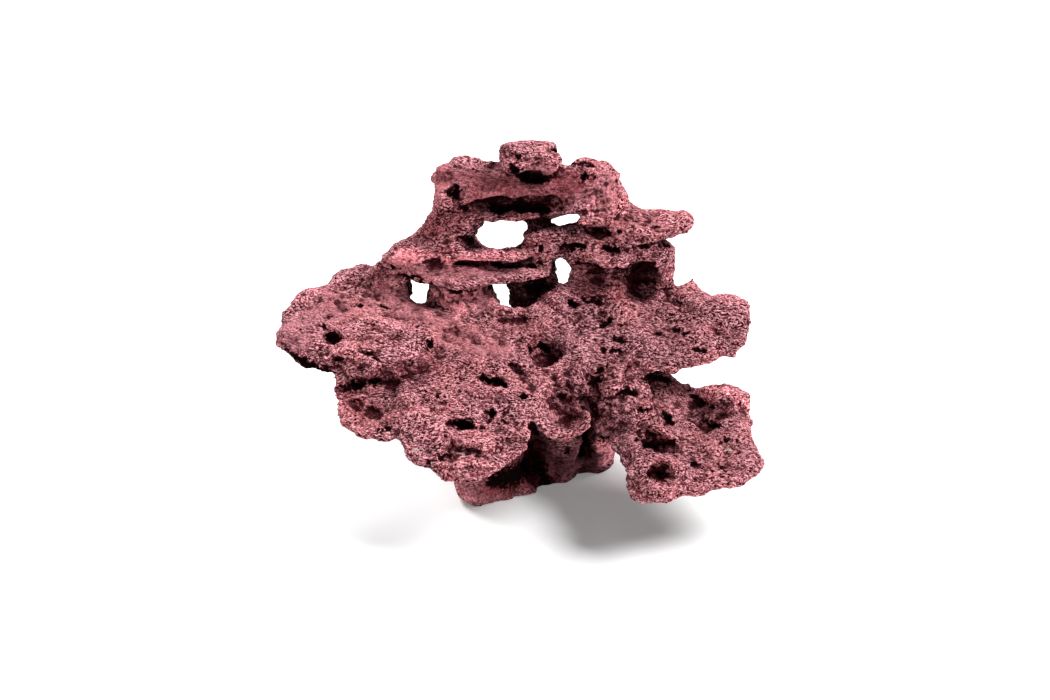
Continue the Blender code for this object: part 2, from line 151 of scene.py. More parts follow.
# The grain's mix: how far it is bent, the scale and share of its long grains, where gaps gather, how much
# of the crust they then take, how soft their edge is and how deep they lie
BEND_REACH = 12 * MM
LONG_SCALE = 0.8
LONG_SHARE = 0.65
CLUSTER = (0.42, 0.7)
GAP_EDGE = (0.435, 0.5)
GAP_SOFTNESS = 0.035
GAP_DEPTH = 0.25

# Where each stored value or pattern starts to show in the finish, and where it shows fully
LEVEL_TOP = (0.62, 0.82)
MAUVE_PATCH = (0.4, 0.62)
CREST_HEIGHT = (0.51, 0.578)
LIT_PATCH = (0.5, 1.0)
SHADED_PATCH = (0.5, 0.0)
RAISED = (0.49, 0.25)
CREASED = (0.56, 0.88)
SUNK = (0.53, 0.82)
SHELTERED = (0.36, 0.08)
PIT_RIM = (0.28, 0.62)
PIT_FLOOR = (0.58, 0.78)

# Shares: what worn places lose of their grain and keep of its crests, how far the painted shade darkens
# creases, hollows and sheltered places, and how much of that painted shade in sheltered places is taken off
# where the patches paint light. Rim bites is how raggedly noise breaks the rim of a pit.
WORN_EVENING = 0.55
WORN_CRESTS = 0.26
CREASE_SHADE = 0.68
HOLLOW_SHADE = 0.9
SHELTER_SHADE = 0.92
LIT_PATCH_SHADE_LIFT = 0.8
RIM_BITES = 1.6

# Broad ridges and sunk places: points along each in photo pixels, half width and height in millimetres
BROAD_FORMS = [
    # Left shelf: rim lump, rims, mound at the back and long folds
    ([(328, 359), (338, 351), (352, 350), (368, 358)], 6, 6.5),
    ([(279, 318), (298, 300), (326, 294)], 9, 3.0),
    ([(282, 340), (296, 352), (312, 360)], 3, 3.0),
    ([(412, 320), (436, 313), (450, 320)], 10, 2.0),
    ([(420, 318), (470, 338), (512, 366)], 2.0, -1.6),
    ([(400, 326), (450, 344), (500, 374)], 2.2, 1.6),
    ([(372, 306), (420, 330), (470, 358)], 2.0, -1.6),
    # Trough behind the front lobe, with two bumps across it
    ([(356, 382), (372, 380), (392, 378), (410, 374), (428, 368)], 7, -3.0),
    ([(367, 375), (370, 388)], 3, 4.0),
    ([(396, 370), (401, 385)], 3, 4.5),
    # Front lobe: rims, step at the left, folds, groove and lumps
    ([(527, 420), (527, 446), (507, 463), (483, 472)], 6, 2.5),
    ([(489, 384), (507, 395), (519, 410)], 6, 2.5),
    ([(403, 446), (424, 458)], 6, 2.0),
    ([(420, 462), (452, 464), (486, 466)], 4, 3.0),
    ([(350, 403), (368, 409), (386, 424)], 6, -3.0),
    ([(380, 392), (430, 398), (478, 410)], 2.4, -1.6),
    ([(372, 404), (420, 412), (462, 420)], 2.6, 1.8),
    ([(430, 452), (462, 449), (500, 446)], 3, -2.5),
    ([(452, 440), (486, 438), (522, 430)], 4, 3.0),
    ([(470, 442), (488, 448)], 5, 2.5),
    ([(500, 420), (514, 432)], 5, 3.5),
    ([(436, 444), (450, 440)], 4, 3.0),
    ([(404, 434), (422, 438)], 5, 3.0),
    ([(390, 402), (412, 398)], 5, 2.5),
    ([(438, 404), (462, 406)], 5, 2.5),
    ([(470, 390), (486, 398)], 4, 2.5),
    ([(424, 388), (444, 384)], 5, 2.0),
    ([(350, 396), (364, 398)], 4, 2.5),
    # Trunk: ridge across it, hollow in its middle and mound at its back
    ([(436, 310), (470, 328), (505, 352), (530, 366)], 6, 2.0),
    ([(500, 318), (525, 322)], 9, -3.0),
    ([(494, 308), (512, 310)], 9, 3.0),
    # Cup-shaped nose: groove at its left, rims and hollow
    ([(513, 364), (527, 381), (537, 394)], 5, -4.0),
    ([(527, 372), (544, 368), (560, 376), (575, 385)], 5, 4.5),
    ([(584, 393), (591, 408), (588, 424)], 4, 4.0),
    ([(536, 420), (548, 433), (568, 437), (584, 430)], 4, 3.5),
    ([(556, 400), (566, 414)], 13, -6.5),
    # Ridges and hollow between the nose and the low right shelf
    ([(629, 358), (621, 372), (611, 388), (600, 402)], 6.5, 6.0),
    ([(608, 358), (600, 366), (594, 374)], 5, 3.0),
    ([(594, 385), (590, 402), (588, 420)], 5, -5.0),
    # Right shelf: rims, long grooves and long ridges
    ([(682, 282), (717, 293), (745, 313)], 6, 3.0),
    ([(637, 359), (668, 362), (699, 358), (736, 351)], 5, 2.0),
    ([(640, 362), (668, 365), (700, 361), (738, 352)], 1.6, -2.0),
    ([(664, 294), (699, 320), (728, 337)], 5, -2.0),
    ([(596, 300), (640, 306), (690, 318), (735, 330)], 1.8, -1.8),
    ([(600, 318), (650, 325), (700, 341)], 1.6, -1.6),
    ([(610, 287), (660, 300), (720, 312)], 1.8, -1.8),
    ([(640, 281), (690, 300), (740, 318)], 1.6, -1.6),
    ([(606, 334), (646, 342), (690, 350)], 1.6, -1.6),
    ([(622, 291), (664, 307), (704, 322), (738, 341)], 2.2, 1.8),
    ([(600, 309), (650, 314), (694, 330)], 2.2, 1.8),
    ([(604, 327), (640, 333), (680, 341)], 2.2, 1.6),
    # Low right shelf: lumps and rims, then sunk places
    ([(630, 452), (634, 444), (646, 441)], 5, 4.5),
    ([(628, 422), (641, 409), (654, 402)], 4.5, 4.0),
    ([(628, 408), (644, 404)], 5, 3.0),
    ([(650, 424), (666, 433), (684, 447)], 4.5, 4.0),
    ([(630, 470), (640, 458), (656, 455), (672, 462)], 4.5, 3.5),
    ([(682, 466), (711, 465), (742, 486)], 5, 2.5),
    ([(706, 396), (721, 392), (734, 396), (745, 405)], 6, 3.5),
    ([(733, 412), (736, 417)], 5, 3.0),
    ([(732, 440), (733, 446)], 5, 3.0),
    ([(652, 472), (656, 473)], 8, -5.0),
    ([(640, 436), (654, 441), (667, 446)], 6, -5.0),
    ([(690, 397), (704, 402), (714, 407)], 4, -3.0),
    ([(700, 424), (716, 430)], 6, -2.5),
    # Middle left shelf
    ([(430, 248), (470, 252), (520, 252)], 5, 2.0),
    # Middle right shelf and the layers of its stalk
    ([(534, 225), (560, 222), (584, 224)], 5, 2.5),
    ([(580, 234), (620, 240), (662, 234)], 4, 2.5),
    ([(566, 255), (600, 262), (640, 262)], 4, 2.0),
    ([(575, 275), (590, 292)], 7, 2.0),
    ([(586, 276), (600, 272), (618, 276)], 3, -2.5),
    ([(584, 286), (604, 284), (622, 288)], 2.6, 2.5),
    ([(586, 294), (604, 296), (618, 294)], 2.6, -2.5),
    # Arch
    ([(441, 170), (463, 160), (491, 162)], 7, 3.0),
    ([(455, 188), (458, 200)], 6, -3.0),
    ([(500, 190), (540, 196), (575, 193)], 6, 2.5),
    # Knob: rounded corners and crown
    ([(504, 147), (505, 153)], 6, -6.0),
    ([(555, 147), (557, 153)], 6, -6.0),
    ([(520, 156), (545, 158)], 8, 2.5),
]

# Holes and pits: x, y in photo pixels, half width and depth in millimetres
PITS = [
    # Left shelf
    (359, 307, 2.6, 4), (382, 307, 2.2, 4), (343, 288, 1.8, 3), (300, 331, 1.8, 3), (330, 316, 1.8, 3),
    (321, 348, 1.6, 4),
    # Front lobe
    (355, 385, 3.4, 7), (358, 401, 1.8, 3), (388, 429, 2.2, 5), (379, 431, 1.8, 3), (439, 397, 1.8, 4),
    (474, 398, 1.8, 5), (396, 421, 1.5, 3), (505, 422, 1.6, 5), (506, 411, 1.6, 4), (480, 427, 2.0, 6),
    (468, 455, 1.4, 3),
    # Right shelf
    (639, 357, 1.7, 6), (670, 355, 1.6, 4), (722, 326, 1.6, 3), (612, 313, 1.2, 2), (624, 312, 1.1, 2),
    (734, 344, 1.2, 2), (671, 315, 1.0, 2), (689, 321, 1.1, 2), (620, 340, 3.0, 2),
    # Low right shelf, and one on the foot's pillar beside it
    (647, 476, 2.4, 6), (660, 475, 2.2, 5), (694, 463, 2.4, 4), (724, 440, 2.2, 5), (606, 437, 1.8, 4),
    # Middle shelves
    (403, 276, 2.8, 5), (393, 267, 2.2, 4), (503, 245, 1.8, 4), (518, 246, 1.6, 4), (540, 247, 2.6, 6),
    (656, 228, 1.8, 3), (666, 246, 2.6, 6),
    # Arch and knob
    (455, 194, 3.4, 8), (459, 188, 2.2, 5), (582, 164, 2.8, 6), (490, 161, 2.2, 4), (595, 175, 1.6, 3),
    (472, 170, 1.8, 3), (478, 186, 1.6, 3), (465, 208, 1.6, 3), (420, 236, 2.2, 5), (516, 157, 1.7, 3),
    (554, 151, 1.8, 3),
]

# Crevices: points along each in photo pixels, half width and depth in millimetres
CREVICES = [
    # Left shelf
    ([(363, 350), (370, 354), (377, 361)], 1.8, 4),
    ([(323, 327), (330, 335), (334, 344)], 2.2, 6),
    ([(322, 329), (330, 338)], 2.0, 5),
    ([(334, 360), (344, 357)], 1.4, 3),
    ([(290, 352), (299, 360), (312, 365)], 1.8, 5),
    ([(429, 349), (431, 343), (427, 341)], 1.6, 4),
    # Front lobe and the trough behind it
    ([(365, 384), (375, 380), (384, 382)], 1.5, 4),
    ([(392, 381), (403, 375), (414, 374)], 1.3, 4),
    ([(422, 466), (432, 461), (441, 458), (449, 455)], 1.9, 6),
    ([(448, 424), (457, 424), (468, 427), (477, 428)], 2.8, 9),
    ([(449, 431), (446, 441)], 1.8, 6),
    ([(466, 429), (478, 428)], 1.4, 4),
    ([(486, 408), (489, 413), (490, 421)], 2.2, 7),
    ([(478, 378), (488, 379), (497, 381)], 2.0, 5),
    ([(497, 381), (503, 386)], 3.2, 8),
    ([(518, 397), (530, 397)], 1.8, 5),
    # Hollow in the trunk's middle
    ([(524, 341), (531, 350)], 2.0, 4),
    ([(541, 340), (547, 352)], 1.8, 4),
    # Right shelf
    ([(602, 352), (613, 351), (624, 352)], 1.3, 4),
    ([(598, 328), (604, 325), (610, 320)], 1.6, 4),
    ([(621, 327), (630, 327)], 1.4, 4),
    ([(640, 331), (650, 333), (660, 334), (668, 336)], 1.2, 3),
    ([(663, 323), (675, 330), (686, 334), (698, 333)], 1.1, 3),
    ([(692, 349), (697, 350), (705, 352)], 1.7, 4),
    # Between the nose and the low right shelf
    ([(592, 370), (600, 369), (607, 366)], 1.6, 6),
    ([(594, 381), (600, 380), (606, 381)], 2.0, 6),
    # Low right shelf
    ([(617, 394), (626, 391), (638, 395)], 1.8, 4),
    ([(637, 440), (644, 443), (652, 446), (664, 447)], 2.2, 6),
    ([(664, 412), (668, 419), (673, 427)], 2.0, 4),
    ([(638, 409), (650, 407)], 1.5, 4),
    ([(705, 422), (712, 425), (720, 428)], 2.0, 4),
    ([(686, 390), (695, 397), (706, 403), (716, 407)], 1.6, 5),
    ([(717, 465), (730, 475), (744, 486)], 1.1, 3),
    ([(690, 462), (696, 466)], 1.6, 4),
    # Middle left shelf
    ([(453, 238), (464, 237), (472, 241)], 2.0, 5),
    ([(442, 263), (458, 264), (476, 264)], 1.2, 4),
    ([(485, 264), (505, 266), (530, 267), (556, 262)], 2.4, 8),
    ([(408, 276), (432, 285), (458, 291), (474, 289), (492, 287)], 1.9, 6),
    # Middle right shelf and its stalk
    ([(528, 222), (550, 221), (574, 220)], 1.4, 4),
    ([(583, 227), (592, 229), (606, 231), (618, 233)], 1.7, 5),
    ([(562, 246), (574, 247), (586, 247)], 1.8, 6),
    ([(603, 249), (614, 250), (626, 251)], 1.9, 6),
    ([(634, 246), (646, 247), (658, 245)], 1.5, 4),
    ([(560, 258), (580, 262), (600, 267), (618, 269), (632, 264)], 1.7, 5),
    ([(584, 299), (596, 302), (606, 301)], 2.0, 6),
    ([(567, 303), (574, 306)], 2.6, 7),
    ([(608, 287), (619, 285)], 1.6, 5),
    # Arch, and the crease round the knob
    ([(494, 212), (508, 208), (524, 207), (545, 209)], 3.4, 9),
    ([(584, 174), (582, 182)], 1.6, 4),
    ([(515, 168), (523, 176), (540, 179), (556, 174)], 3.0, 7),
]

# Deep shade inside the hollows of the rock: points in photo pixels, half width in millimetres and strength
DARK_HOLLOWS = [
    # Left shelf
    ([(324, 328), (330, 338), (336, 344)], 4, 0.85),
    ([(286, 349), (299, 361), (316, 369), (329, 371)], 4, 1.2),
    # Front lobe and the trough behind it
    ([(340, 386), (352, 389), (362, 384)], 6, 0.95),
    ([(374, 386), (390, 380), (402, 381)], 4, 0.75),
    ([(412, 376), (429, 371)], 4, 0.7),
    ([(476, 377), (492, 380), (505, 386)], 4, 0.8),
    ([(452, 424), (474, 427)], 5, 0.85),
    # Trunk's middle
    ([(522, 346), (538, 344), (548, 356)], 8, 0.35),
    ([(508, 322), (522, 318), (534, 320)], 6, 0.72),
    # Both sides of the nose
    ([(533, 425), (536, 434)], 4, 1.3),
    ([(590, 380), (604, 379)], 4, 0.9),
    ([(594, 406), (595, 420)], 3.5, 1.3),
    # Gap between the right shelves, then the low right shelf
    ([(646, 376), (658, 377), (670, 381)], 4, 1.3),
    ([(648, 420), (660, 414), (668, 424)], 4, 0.75),
    ([(636, 440), (650, 444)], 3.4, 0.8),
    ([(655, 442), (668, 448)], 2.6, 0.7),
    ([(648, 477), (656, 473)], 3, 0.7),
    ([(705, 420), (716, 425), (728, 430)], 4, 0.8),
    ([(722, 436), (738, 441), (738, 452)], 4, 0.75),
    # Recess under the middle left shelf
    ([(505, 290), (530, 290), (550, 286)], 9, 1.3),
    ([(540, 262), (556, 262)], 4, 1.3),
    # Middle right shelf and the caves in its stalk
    ([(612, 228), (628, 232)], 3, 0.7),
    ([(574, 264), (592, 266), (612, 269), (627, 270)], 3, 0.95),
    ([(632, 272), (643, 264), (656, 262)], 3.6, 1.25),
    ([(633, 284), (645, 280), (655, 284)], 3.2, 1.1),
    # Arch and knob
    ([(494, 208), (516, 205), (542, 206), (562, 209)], 5, 1.3),
    ([(447, 190), (456, 196)], 6, 1.0),
    ([(574, 163), (592, 166)], 5, 0.95),
    ([(480, 158), (492, 162)], 4, 0.85),
    ([(585, 177), (600, 179)], 4, 0.65),
    ([(513, 153), (522, 157)], 3, 0.8),
    ([(512, 168), (522, 175), (540, 179), (556, 174)], 4.2, 1.25),
    # Foot: its left piece, its slot and its pillar
    ([(494, 482), (512, 476), (526, 466)], 13, 1.15),
    ([(500, 490), (512, 486)], 3, 0.8),
    ([(530, 446), (537, 462), (546, 482)], 8, 1.15),
    ([(567, 443), (568, 456)], 3, 1.0),
    ([(587, 440), (589, 456), (587, 477)], 3.8, 1.3),
    ([(596, 438), (602, 446)], 2.2, 0.6),
]

# Patches of painted light and shade: paler where light is painted on, or a deeper red where shade is painted
# on if negative: points in photo pixels, half width in millimetres and lightness
LIGHT_AND_SHADE_PATCHES = [
    # Left shelf
    ([(284, 318), (300, 306), (330, 300)], 14, 0.16),
    ([(330, 357), (344, 350), (366, 356)], 6, 0.48),
    ([(440, 306), (462, 314)], 12, 0.28),
    # Front lobe and the trough behind it
    ([(460, 462), (500, 452), (526, 440)], 9, 0.24),
    ([(432, 352), (468, 372), (498, 392)], 15, -0.35),
    ([(372, 414), (404, 424)], 14, -0.3),
    ([(340, 392), (362, 412)], 12, -0.6),
    ([(360, 378), (400, 374), (432, 368)], 9, -0.6),
    # Trunk's middle and nose
    ([(522, 326), (546, 352)], 15, -0.45),
    ([(562, 404), (566, 416)], 13, -0.35),
    ([(592, 400), (600, 416)], 8, -0.5),
    ([(620, 362), (606, 392)], 7, 0.24),
    # Low right shelf
    ([(704, 391), (722, 388), (742, 402)], 8, 0.75),
    # Middle left shelf and its stalk
    ([(392, 255), (430, 256), (470, 256), (508, 252)], 9, 0.62),
    ([(432, 294), (450, 300), (472, 297)], 8, 0.72),
    # Middle right shelf and its stalk
    ([(590, 215), (620, 213)], 8, 0.32),
    ([(600, 234), (650, 228)], 7, 0.24),
    ([(580, 286), (640, 292)], 17, -0.6),
    # Arch
    ([(446, 176), (500, 190), (560, 190)], 15, -0.75),
    ([(440, 168), (462, 164)], 6, 0.3),
    ([(486, 194), (540, 196)], 4, 0.3),
    ([(596, 203), (622, 207)], 8, 0.35),
    ([(560, 182), (582, 178)], 8, -0.6),
    ([(498, 176), (508, 186)], 6, -0.6),
    ([(424, 226), (448, 214), (470, 206)], 12, -0.65),
    ([(514, 215), (548, 213)], 6, -0.6),
    # Foot
    ([(602, 438), (605, 452), (602, 466)], 11, 1.0),
    ([(464, 498), (472, 490)], 9, 0.4),
    ([(572, 450), (570, 470)], 7, 0.16),
    ([(496, 486), (514, 483), (532, 476)], 12, -1.0),
    ([(520, 440), (540, 470), (566, 462)], 14, -0.6),
]

# Places where the crust is worn smoother: points in photo pixels and half width in millimetres
WORN = [
    # Left shelf and trunk, arch, middle left shelf and its stalk, middle right shelf, foot
    ([(292, 330), (330, 306), (392, 306), (440, 320)], 17),
    ([(440, 330), (500, 350)], 12),
    ([(440, 180), (500, 190), (600, 190)], 24),
    ([(396, 264), (450, 274), (530, 264)], 12),
    ([(436, 290), (450, 300), (480, 300)], 13),
    ([(600, 232), (660, 222)], 8),
    ([(476, 484), (540, 460), (600, 460)], 30),
]

# Pale grains: x, y in photo pixels and half width in millimetres
PALE_GRAINS = [
    (417, 443, 1.3), (416, 449, 1.8), (463, 454, 1.0), (466, 176, 1.2), (729, 450, 1.6), (683, 489, 0.9),
    (498, 266, 0.9), (515, 278, 0.9), (537, 287, 0.9), (546, 285, 0.9), (344, 396, 1.1), (400, 429, 1.0),
]


def only(obj):
    """Select one object alone and make it the active one."""
    bpy.ops.object.select_all(action="DESELECT")
    obj.select_set(True)
    bpy.context.view_layer.objects.active = obj


def link(obj):
    """Put a new object into the scene."""
    bpy.context.scene.collection.objects.link(obj)
    return obj


def copy_of(obj, name):
    """A new object of that name with its own copy of the mesh."""
    twin = link(bpy.data.objects.new(name, obj.data.copy()))
    twin.data.name = name
    return twin


def apply_modifier(obj, kind, **settings):
    """Add a modifier of that kind, set it and apply it."""
    only(obj)
    modifier = obj.modifiers.new(kind.title(), kind)
    for name, value in settings.items():
        setattr(modifier, name, value)
    bpy.ops.object.modifier_apply(modifier=modifier.name)


def remesh(obj, grid):
    """Rebuild the surface on a grid of that size, which closes it and evens its faces."""
    apply_modifier(obj, "REMESH", mode="VOXEL", voxel_size=grid)


def smooth(obj, rounds):
    """Even out the surface that many times."""
    apply_modifier(obj, "SMOOTH", factor=0.5, iterations=rounds)


def read_vectors(items, name):
    """One vector for each of the mesh's items, as the rows of an array."""
    values = np.zeros(len(items) * 3, np.float32)
    items.foreach_get(name, values)
    return values.reshape(-1, 3).astype(float)


def read_points(mesh):
    """The mesh's vertices as an array, in metres."""
    return read_vectors(mesh.vertices, "co")


def read_normals(mesh):
    """The mesh's vertex normals as an array."""
    return read_vectors(mesh.vertex_normals, "vector")


def write_points(mesh, points):
    """Put the mesh's vertices at these places."""
    mesh.vertices.foreach_set("co", points.astype(np.float32).ravel())
    mesh.update()


def smoothed(obj, rounds):
    """The places and normals that the mesh's vertices would have after that many rounds of smoothing."""
    shadow = copy_of(obj, "shadow")
    smooth(shadow, rounds)
    points = read_points(shadow.data)
    normals = read_normals(shadow.data)
    bpy.data.objects.remove(shadow)
    return points, normals


def levelness(obj, rounds):
    """How far the smoothed surface faces up at each vertex: 1 on a level top, -1 on a level underside."""
    _, normals = smoothed(obj, rounds)
    return normals[:, 2]


def hollow_depth(obj, rounds):
    """How far each vertex lies below the smoothed surface, in metres: positive in a hollow."""
    points, _ = smoothed(obj, rounds)
    return ((points - read_points(obj.data)) * read_normals(obj.data)).sum(1)


def ease(values):
    """Clamp to 0 to 1 with soft ends."""
    t = np.clip(values, 0, 1)
    return t * t * (3 - 2 * t)


def weigh(obj, name, weights, steps=12):
    """Store the weights, 0 to 1, as a vertex group, rounded to that many steps."""
    group = obj.vertex_groups.new(name=name)
    level = np.rint(np.clip(weights, 0, 1) * steps).astype(int)
    for i in range(steps + 1):
        members = np.flatnonzero(level == i).tolist()
        if members:
            group.add(members, i / steps, "REPLACE")


def relief(obj, name, size, height, middle, where="", octaves=1, creased=True, shape=EVEN):
    """Raise and sink the surface by noise of that size and height, in metres.

    Creased noise has round lumps with sharp creases between them. Noise of the middle value moves nothing.
    """
    pattern = bpy.data.textures.new(name, "CLOUDS")
    pattern.noise_scale = 1.0
    pattern.noise_depth = octaves
    pattern.noise_basis = "ORIGINAL_PERLIN"
    pattern.noise_type = "HARD_NOISE" if creased else "SOFT_NOISE"
    guide = link(bpy.data.objects.new("guide", None))
    guide.scale = [size * s for s in shape["stretch"]]
    guide.rotation_euler = [math.radians(a) for a in shape["turn"]]
    bpy.context.view_layer.update()
    apply_modifier(
        obj, "DISPLACE", texture=pattern, texture_coords="OBJECT", texture_coords_object=guide,
        strength=height, mid_level=middle, vertex_group=where,
    )
    bpy.data.objects.remove(guide)


def sight(x, y):
    """Direction from the camera through a pixel of the photograph."""
    across = (x - PHOTO_SIZE[0] / 2) / FOCAL_PIXELS
    up = (PHOTO_SIZE[1] / 2 - y) / FOCAL_PIXELS
    return (FORWARD + Vector((across, 0, 0)) + up * UPWARD).normalized()


def route(obj, pixels):
    """The places on the rock under a row of pixels and the direction to carve in, or None if all miss it."""
    places = []
    outward = Vector()
    for x, y in pixels:
        hit, place, normal, _ = obj.ray_cast(EYE, sight(x, y))
        if hit:
            places.append(place)
            outward += normal
    if not places:
        return None
    inward = FORWARD * VIEW_LEAN - outward.normalized() * (1 - VIEW_LEAN)
    return np.array(places), np.array(inward.normalized())


def placed(obj, rows):
    """Rows of pixels and sizes as (places on the rock, direction to carve in, sizes), less any that miss."""
    found = []
    for pixels, *sizes in rows:
        way = route(obj, pixels)
        if way:
            found.append((*way, *sizes))
    return found


def reach(points, path):
    """Distance of each point from a path of straight stretches, and how far along it that is, 0 to 1."""
    no_length = 1e-12
    nearest = np.linalg.norm(points - path[0], axis=1)
    place = np.zeros(len(points))
    stretches = len(path) - 1
    for i in range(stretches):
        along = path[i + 1] - path[i]
        share = np.clip((points - path[i]) @ along / max(along @ along, no_length), 0, 1)
        away = np.linalg.norm(points - path[i] - share[:, None] * along, axis=1)
        closer = away < nearest
        nearest = np.where(closer, away, nearest)
        place = np.where(closer, (i + share) / stretches, place)
    return nearest, place


def wander(points, drift, size, seed):
    """How far smooth noise of that drift and size, in metres, moves each point about."""
    shift = Vector((seed * 7.1, seed * 3.3, seed * 5.7))
    return drift * np.array([noise.noise_vector(Vector(p) / size + shift) for p in points])


def outline_of(points, path, width):
    """How near each point is to a stroke, 1 at its ragged outline, which narrows and swells on its way."""
    near, place = reach(points, path)
    if len(path) > 1:
        narrowest = 0.55
        swelling = 0.45 * np.sin(np.pi * np.clip(place, 0.12, 0.88))
        raggedness = 0.2 * np.sin(17 * place + width * 9)
        near = near / (narrowest + swelling + raggedness)
    return near / (width * MM)


def strokes():
    """Every pit and crevice as (pixels, half width, depth)."""
    pits = []
    for x, y, width, depth in PITS:
        ends = [(x + across * width, y + down * width) for across, down in (PIT_START, PIT_END)]
        pits.append((ends, PIT_NARROWING * width, depth))
    return pits + CREVICES


def thickness(obj, path, inward):
    """How much rock lies behind a path, in metres, at its thinnest."""
    below_surface = 0.5
    unknown = 100 * MM
    depths = []
    for place in path:
        start = Vector(place) + Vector(inward) * below_surface * MM
        hit, far, _, _ = obj.ray_cast(start, Vector(inward))
        depths.append((far - start).length if hit else unknown)
    return min(depths)


def swell(obj):
    """Raise the broad ridges and press in the sunk places."""
    points = read_points(obj.data)
    normals = read_normals(obj.data)
    bent = points + wander(points, 5 * MM, 12 * MM, 5)
    shift = np.zeros_like(points)
    for path, inward, width, height in placed(obj, BROAD_FORMS):
        raised = ease(FORM_EDGE - outline_of(bent, path, width))
        facing = ease(0.5 - normals @ inward)
        shift -= (raised * facing)[:, None] * inward * height * MM
    write_points(obj.data, points + shift)


def carve(obj):
    """Sink the pits and crevices. Gives back each cut's path, direction, half width and depth."""
    points = read_points(obj.data)
    normals = read_normals(obj.data)
    bent = points + wander(points, 4.2 * MM, 4.6 * MM, 1) + wander(points, 1.8 * MM, 1.8 * MM, 2)
    shift = np.zeros_like(points)
    cuts = []
    for path, inward, width, depth in placed(obj, strokes()):
        inside = ease((FORM_EDGE - outline_of(bent, path, width)) / WALL_WIDTH)
        facing = normals @ inward < 0.2
        sunk = min(depth * MM, DEEPEST_CUT * thickness(obj, path, inward))
        shift += (inside * facing)[:, None] * inward * sunk
        cuts.append((path, inward, width, sunk))
    write_points(obj.data, points + shift)
    return cuts


def brokenness(rock):
    """How strongly the surface is broken up at each vertex: the foot is smoother than the shelves."""
    return FOOT_RELIEF + (1 - FOOT_RELIEF) * ease(read_points(rock.data)[:, 2] / FOOT_HEIGHT)


def roughen(rock):
    """Small relief: layered rims and lumps on the sides, drawn-out folds on the flats, and grit all over."""
    up = levelness(rock, 12)
    weigh(rock, "flats", ease((up - FLATS_FROM) / SLOPE_FADE))
    weigh(rock, "sides", ease((SIDES_TO - np.abs(up)) / SLOPE_FADE) * brokenness(rock))
    relief(rock, "layers", 9 * MM, 4.4 * MM, 0.3, "sides", shape=LAYERS)
    relief(rock, "popcorn", 6.5 * MM, 4.0 * MM, 0.3, "sides")
    relief(rock, "ridges", 24 * MM, 3.0 * MM, 0.3, "flats", shape=RIDGES)
    relief(rock, "folds", 10 * MM, 1.6 * MM, 0.3, "flats", shape=FOLDS)
    relief(rock, "pores", 3.8 * MM, 1.2 * MM, 0.3, "flats", shape=PORES)
    relief(rock, "grit", 2.6 * MM, 1.1 * MM, 0.5, octaves=0, creased=False)


def thin_out(rock):
    """Bring the mesh down to its number of triangles, with no point under the ground."""
    apply_modifier(rock, "TRIANGULATE")
    apply_modifier(rock, "DECIMATE", ratio=min(1.0, TRIANGLES / len(rock.data.polygons)))
    points = read_points(rock.data)
    points[:, 2] = np.maximum(points[:, 2], 0)
    write_points(rock.data, points)


def weld(obj):
    """Join loose triangles at the corners that they share."""
    only(obj)
    bpy.ops.object.mode_set(mode="EDIT")
    bpy.ops.mesh.select_all(action="SELECT")
    bpy.ops.mesh.remove_doubles(threshold=WELD_REACH)
    bpy.ops.object.mode_set(mode="OBJECT")


def make_rock():
    """The rock's surface: the solid's own form, smoothed, carved and roughened."""
    noise.seed_set(NOISE_SEED)
    rock = copy_of(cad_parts["reef_rock"], "weathered_rock")
    weld(rock)
    remesh(rock, BASE_GRID)
    smooth(rock, FACET_SMOOTHING)
    weigh(rock, "shelves", brokenness(rock))
    relief(rock, "swell", 30 * MM, 6.0 * MM, 0.5, "shelves", creased=False)
    relief(rock, "lumps", 15 * MM, 4.2 * MM, 0.25, "shelves")
    swell(rock)
    hollows = placed(rock, DARK_HOLLOWS)
    light_and_shade_patches = placed(rock, LIGHT_AND_SHADE_PATCHES)
    worn = placed(rock, WORN)
    grains = placed(rock, [([(x, y)], width) for x, y, width in PALE_GRAINS])
    remesh(rock, FINE_GRID)
    cuts = carve(rock)
    remesh(rock, FINE_GRID)
    roughen(rock)
    thin_out(rock)
    mark(rock, cuts, hollows, grains, light_and_shade_patches, worn)
    return rock


def sky_rays():
    """Directions spread evenly over the sky, from just above the horizon."""
    golden_angle = math.pi * (3 - math.sqrt(5))
    for i in range(SKY_RAYS):
        rise = (i + 0.5) / SKY_RAYS * (1 - LOWEST_RAY) + LOWEST_RAY
        level = math.sqrt(1 - rise * rise)
        yield Vector((level * math.cos(golden_angle * i), level * math.sin(golden_angle * i), rise))


def spread(values, places, targets):
    """Carry values from a few places to many: each target takes a mean of those nearest it."""
    softness = 0.5 * MM
    index = KDTree(len(places))
    for i, place in enumerate(places):
        index.insert(place, i)
    index.balance()
    carried = []
    for target in targets:
        found = index.find_n(target, SKY_NEIGHBOURS)
        weights = [1 / (away + softness) for _, _, away in found]
        total = sum(weight * values[i] for weight, (_, i, _) in zip(weights, found))
        carried.append(total / sum(weights))
    return np.array(carried)


def open_sky(rock):
    """For each vertex, the share of the sky that it sees, 0 on an underside to 1 on an open top."""
    clear_of_surface = 1.5
    shadow = copy_of(rock, "shadow")
    apply_modifier(shadow, "DECIMATE", ratio=SKY_TRIANGLES / len(shadow.data.polygons))
    points = read_points(shadow.data)
    normals = read_normals(shadow.data)
    tree = BVHTree.FromPolygons(points.tolist(), [tuple(face.vertices) for face in shadow.data.polygons])
    bpy.data.objects.remove(shadow)
    seen = np.zeros(len(points))
    for ray in sky_rays():
        for i in np.flatnonzero(normals @ np.array(ray) > 0):
            start = Vector(points[i] + normals[i] * clear_of_surface * MM)
            seen[i] += tree.ray_cast(start, ray)[0] is None
    return spread(seen, points, read_points(rock.data)) / SKY_RAYS


def paint(obj, name, values):
    """Store one value a vertex, 0 to 1, under that name, for the material."""
    layer = obj.data.attributes.new(name, "FLOAT", "POINT")
    layer.data.foreach_set("value", np.clip(values, 0, 1).astype(np.float32))


